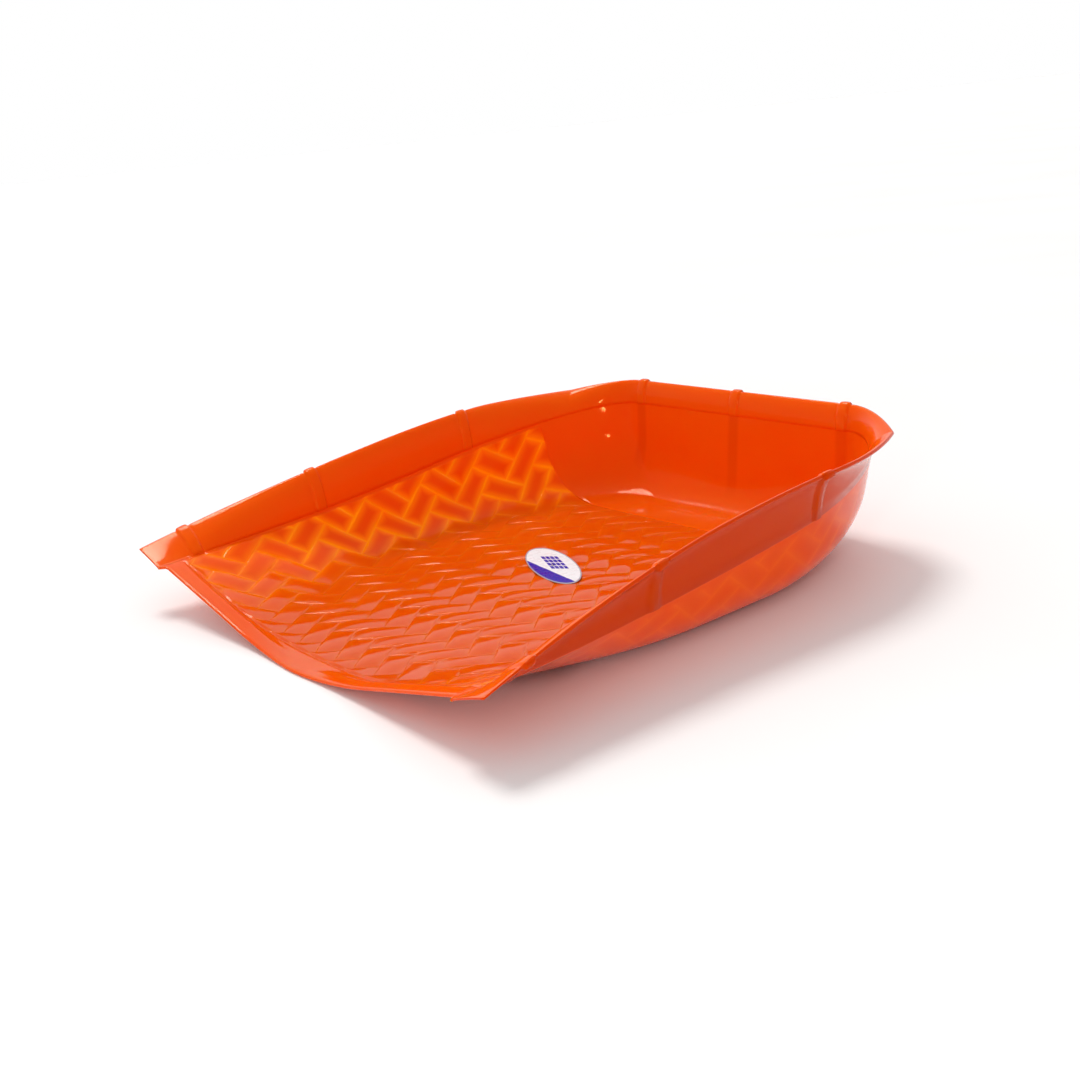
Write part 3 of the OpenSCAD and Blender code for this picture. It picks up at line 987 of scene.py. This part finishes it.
def label_material():
    """White film with a blue lower segment, a silver edge and a small woven lozenge."""
    make = Maker("sticker_film")
    a, b, _ = make.parts("place")
    blue, white, silver = paint(PRINT_BLUE), paint(FILM_WHITE), paint(EDGE_SILVER)
    squares = make.math("ADD", make.math("POWER", a, 2.0), make.math("POWER", b, 2.0))
    ring = make.math("SQRT", squares)
    lower = make.ramp(b, BLUE_TOP - 0.02, BLUE_TOP, 1.0, 0.0)
    emblem_b = make.math("SUBTRACT", b, EMBLEM_UP)
    part_a = make.math("DIVIDE", make.math("ABSOLUTE", a), EMBLEM_HALF_A)
    part_b = make.math("DIVIDE", make.math("ABSOLUTE", emblem_b), EMBLEM_HALF_B)
    lozenge = make.math("ADD", part_a, part_b)
    inside = make.ramp(lozenge, 0.96, 1.0, 1.0, 0.0)
    slant = make.math("MULTIPLY", emblem_b, EMBLEM_HALF_A / EMBLEM_HALF_B)
    rising = make.math("FRACT", make.math("DIVIDE", make.math("ADD", a, slant), HATCH_PITCH))
    falling = make.math("FRACT", make.math("DIVIDE", make.math("SUBTRACT", a, slant), HATCH_PITCH))
    hatch = make.ramp(make.math("MINIMUM", rising, falling), 0.14, 0.2)
    face = make.blend(make.math("MULTIPLY", inside, hatch), white, blue)
    face = make.blend(lower, face, blue)
    edge = make.ramp(ring, 0.94, 0.955)
    face = make.blend(edge, face, silver)
    grime = make.math("MULTIPLY", make.ramp(make.noise(70.0, 4.0), 0.45, 0.75), GRIME_SHARE)
    face = make.blend(grime, face, paint(GRIME))
    make.color(face)
    rough = make.ramp(make.noise(220.0, 3.0), 0.3, 0.7, 0.22, 0.34)
    make.feed(make.shader.inputs["Roughness"], rough)
    make.feed(make.shader.inputs["Normal"], make.bumped(make.noise(120.0, 2.0), 0.00006, 0.4))
    make.settings(Specular_IOR_Level=0.12)
    return make.material


# The stage, in metres
FLOOR_GAP = 0.0003
FLOOR_SPOKES = 96
FLOOR_RADII = np.array([0.02, 0.5, 2.0, 8.0, 30.0, 90.0])
KEY_ENERGY = 1.5
KEY_ANGLE = np.radians(20.0)
KEY_COLOR = (1.0, 0.98, 0.95)
KEY_DIRECTION = Vector((0.52, -0.12, -0.85))
SPARK_SIZE = 0.1
SPARK_ENERGY = 2.2
SPARK_PLACE = Vector((0.72, -0.99, 0.36))
SPARK_DIRECTION = Vector((-0.87, 1.14, -0.3))
BRIGHT_SIDE = (-0.79, 0.61, 0.0)
WORLD_LOW, WORLD_HIGH = 0.62, 1.0
LENS, SENSOR_W = 44.59, 36.0
CAMERA_PLACE = (0.67995, -0.52292, 0.29372)
CAMERA_RIGHT = Vector((0.6293, 0.7707, -0.1001))
CAMERA_UP = Vector((-0.1697, 0.2620, 0.9501))
CAMERA_AHEAD = Vector((-0.7584, 0.5809, -0.2956))


def floor_material():
    make = Maker("pale_floor")
    grain = make.noise(3.0, 2.0)
    make.color(make.blend(make.ramp(grain, 0.3, 0.7), paint(FLOOR_PALE), paint(FLOOR_PALER)))
    make.settings(Roughness=0.7)
    return make.material


def build_floor():
    """A pale level floor, wide enough to reach the horizon."""
    around = np.linspace(0, 2 * np.pi, FLOOR_SPOKES, endpoint=False)
    x = FLOOR_RADII[:, None] * np.cos(around)
    y = FLOOR_RADII[:, None] * np.sin(around)
    z = np.full_like(x, cad_box[0].z - FLOOR_GAP)
    ids = np.arange(x.size).reshape(x.shape)
    ids = np.concatenate([ids, ids[:, :1]], axis=1)
    faces = quads(ids.T) + [tuple(int(i) for i in ids[0, :-1])]
    mesh = bpy.data.meshes.new("studio_floor")
    mesh.from_pydata(np.stack([x, y, z], axis=2).reshape(-1, 3).tolist(), [], faces)
    mesh.shade_smooth()
    mesh.materials.append(floor_material())
    floor = bpy.data.objects.new("studio_floor", mesh)
    bpy.context.scene.collection.objects.link(floor)


def place_light(name, kind, direction):
    """A light that shines along direction. Returns its data and its object."""
    light = bpy.data.lights.new(name, kind)
    holder = bpy.data.objects.new(name, light)
    holder.rotation_euler = direction.to_track_quat("-Z", "Y").to_euler()
    bpy.context.scene.collection.objects.link(holder)
    return light, holder


def add_lights():
    """A soft sun from above the far wall, a small lamp for sparkle, and pale surroundings."""
    key, _ = place_light("key", "SUN", KEY_DIRECTION)
    key.energy, key.angle, key.color = KEY_ENERGY, KEY_ANGLE, KEY_COLOR
    lamp, spark = place_light("spark", "AREA", SPARK_DIRECTION)
    lamp.shape = "DISK"
    lamp.size, lamp.energy = SPARK_SIZE, SPARK_ENERGY
    spark.location = SPARK_PLACE
    bpy.context.scene.world = pale_world()


def pale_world():
    """Even pale surroundings, whiter low down behind the far side, where the floor meets them."""
    world = bpy.data.worlds.new("pale_room")
    world.use_nodes = True
    tree = world.node_tree
    place = tree.nodes.new("ShaderNodeTexCoord")
    facing = tree.nodes.new("ShaderNodeVectorMath")
    facing.operation = "DOT_PRODUCT"
    facing.inputs[1].default_value = BRIGHT_SIDE
    glow = tree.nodes.new("ShaderNodeMapRange")
    glow.interpolation_type = "SMOOTHSTEP"
    ends = {"From Min": 0.35, "From Max": 0.85, "To Min": WORLD_LOW, "To Max": WORLD_HIGH}
    for key, number in ends.items():
        glow.inputs[key].default_value = number
    tree.links.new(place.outputs["Generated"], facing.inputs[0])
    tree.links.new(facing.outputs["Value"], glow.inputs["Value"])
    tree.links.new(glow.outputs[0], tree.nodes["Background"].inputs["Strength"])
    tree.nodes["Background"].inputs["Color"].default_value = (1.0, 1.0, 1.0, 1.0)
    return world


def add_camera():
    """The camera stands in front and to the right, a little above, and leans a few degrees."""
    view = bpy.data.cameras.new("camera")
    view.lens, view.sensor_width = LENS, SENSOR_W
    view.clip_start, view.clip_end = 0.01, 200.0
    camera = bpy.data.objects.new("camera", view)
    turn = Matrix((CAMERA_RIGHT, CAMERA_UP, -CAMERA_AHEAD)).transposed()
    camera.matrix_world = Matrix.Translation(CAMERA_PLACE) @ turn.to_4x4()
    bpy.context.scene.collection.objects.link(camera)
    bpy.context.scene.camera = camera


pan = build_pan()
pan.data.materials.append(pan_material())
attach(pan, "root")
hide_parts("pan")

label = build_label()
label.data.materials.append(label_material())
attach(label, "root")
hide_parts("label")

build_floor()
add_lights()
add_camera()
bpy.context.scene.view_settings.view_transform = "Standard"
